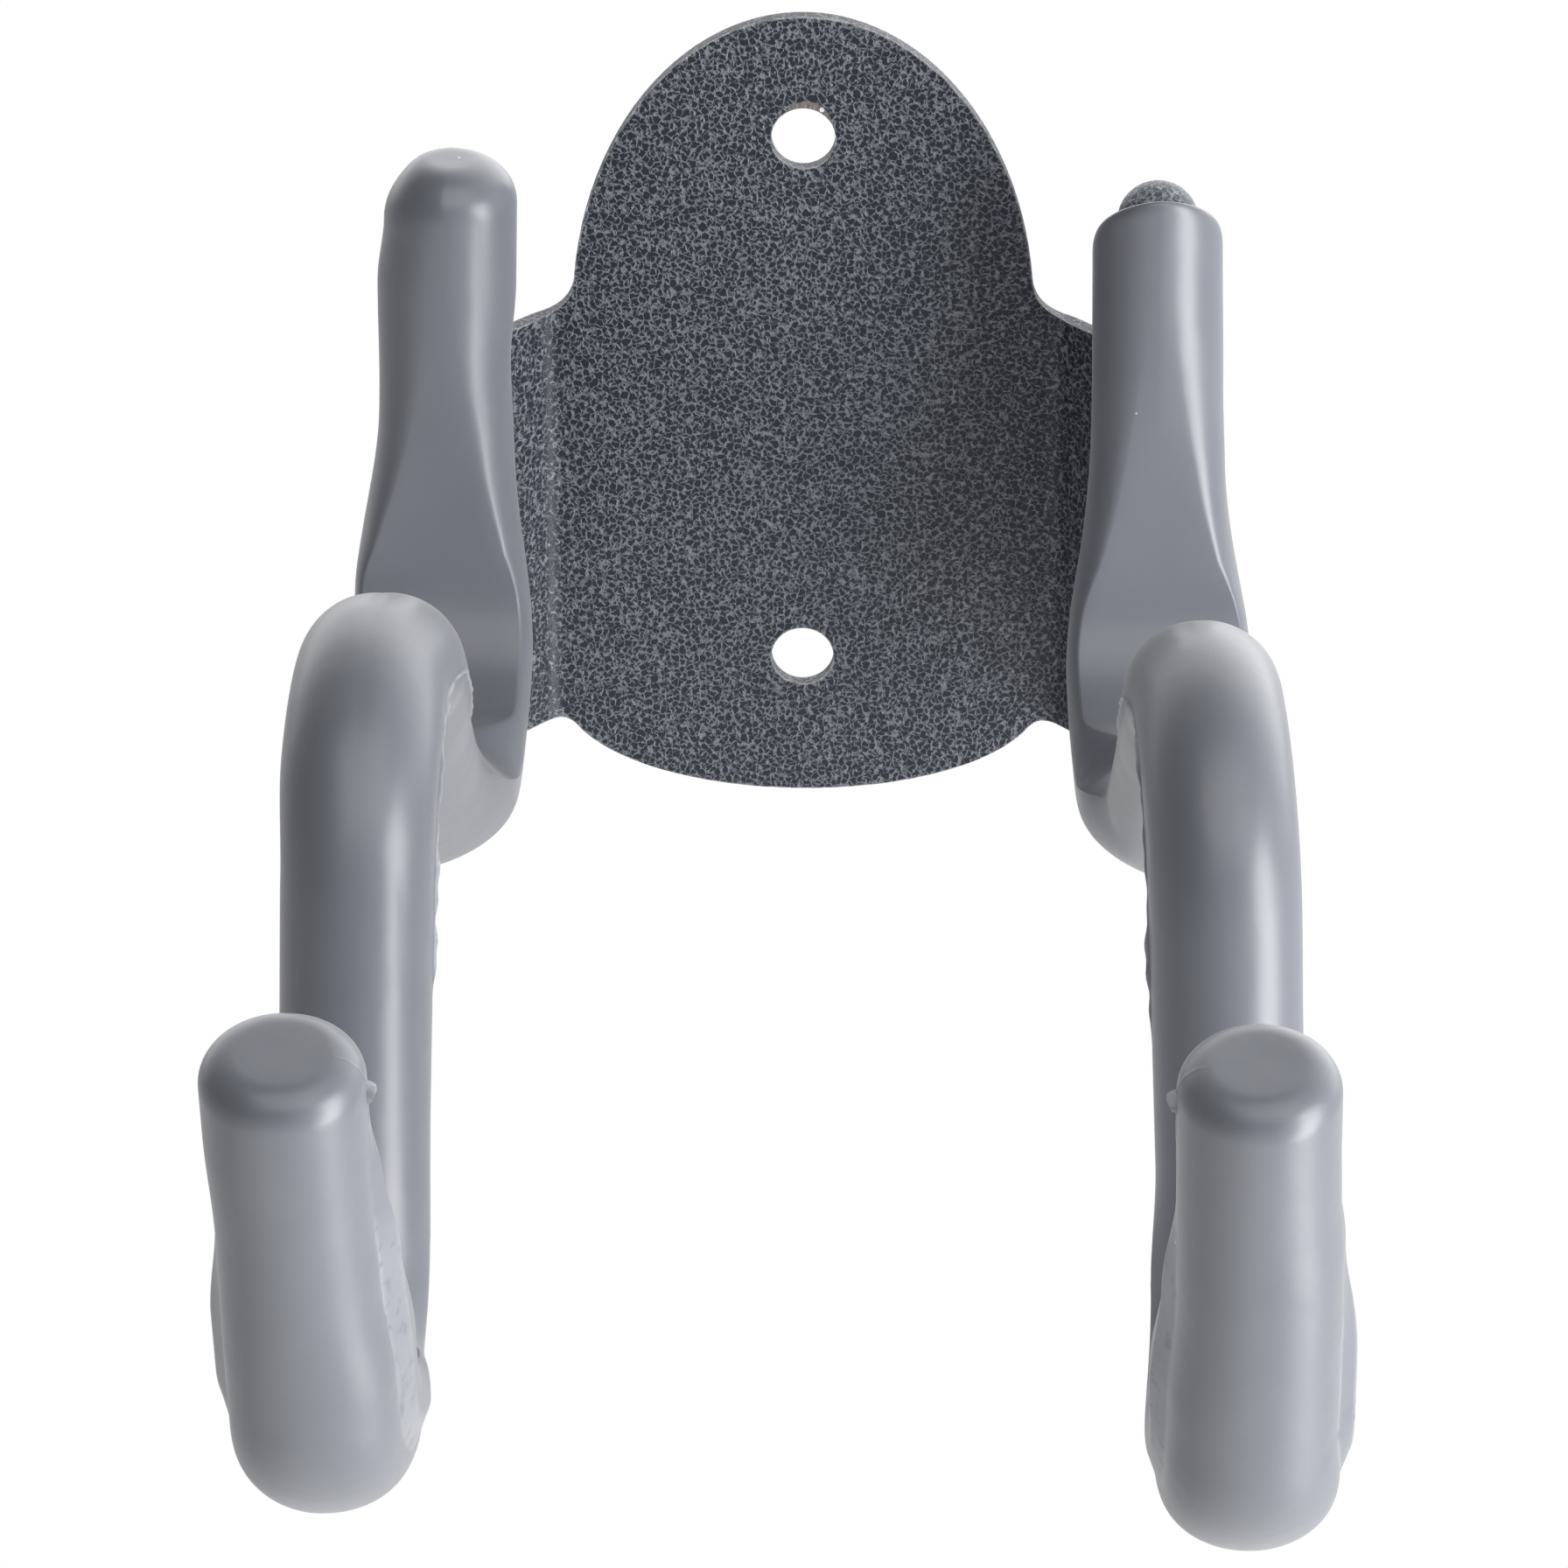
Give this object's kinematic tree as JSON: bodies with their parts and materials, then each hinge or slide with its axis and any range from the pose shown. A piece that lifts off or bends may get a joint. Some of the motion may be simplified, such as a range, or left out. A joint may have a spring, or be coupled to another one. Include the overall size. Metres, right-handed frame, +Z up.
{
  "type": "garage utility hook",
  "caption": "Wall-mounted double-arm storage hook: folded steel bracket with two sleeved, bent rods, each forming a rear hook, a hump and a front hook.",
  "frame": {"origin": "on the wall face of the bracket, midway between the two screw holes", "axes": "+Z up the wall, +Y into the wall, +X to the right seen from the front"},
  "size_m": [0.1207, 0.1902, 0.1189],
  "materials": {
    "hammertone_paint": "hammertone, glossy, dark grey",
    "grey_vinyl": "satin, soft, mid grey"
  },
  "bodies": {
    "root": {"wall_bracket": "hammertone_paint", "left_rod": "hammertone_paint", "right_rod": "hammertone_paint", "left_weld_bead": "hammertone_paint", "right_weld_bead": "hammertone_paint", "left_sleeve": "grey_vinyl", "right_sleeve": "grey_vinyl"}
  },
  "joints": []
}
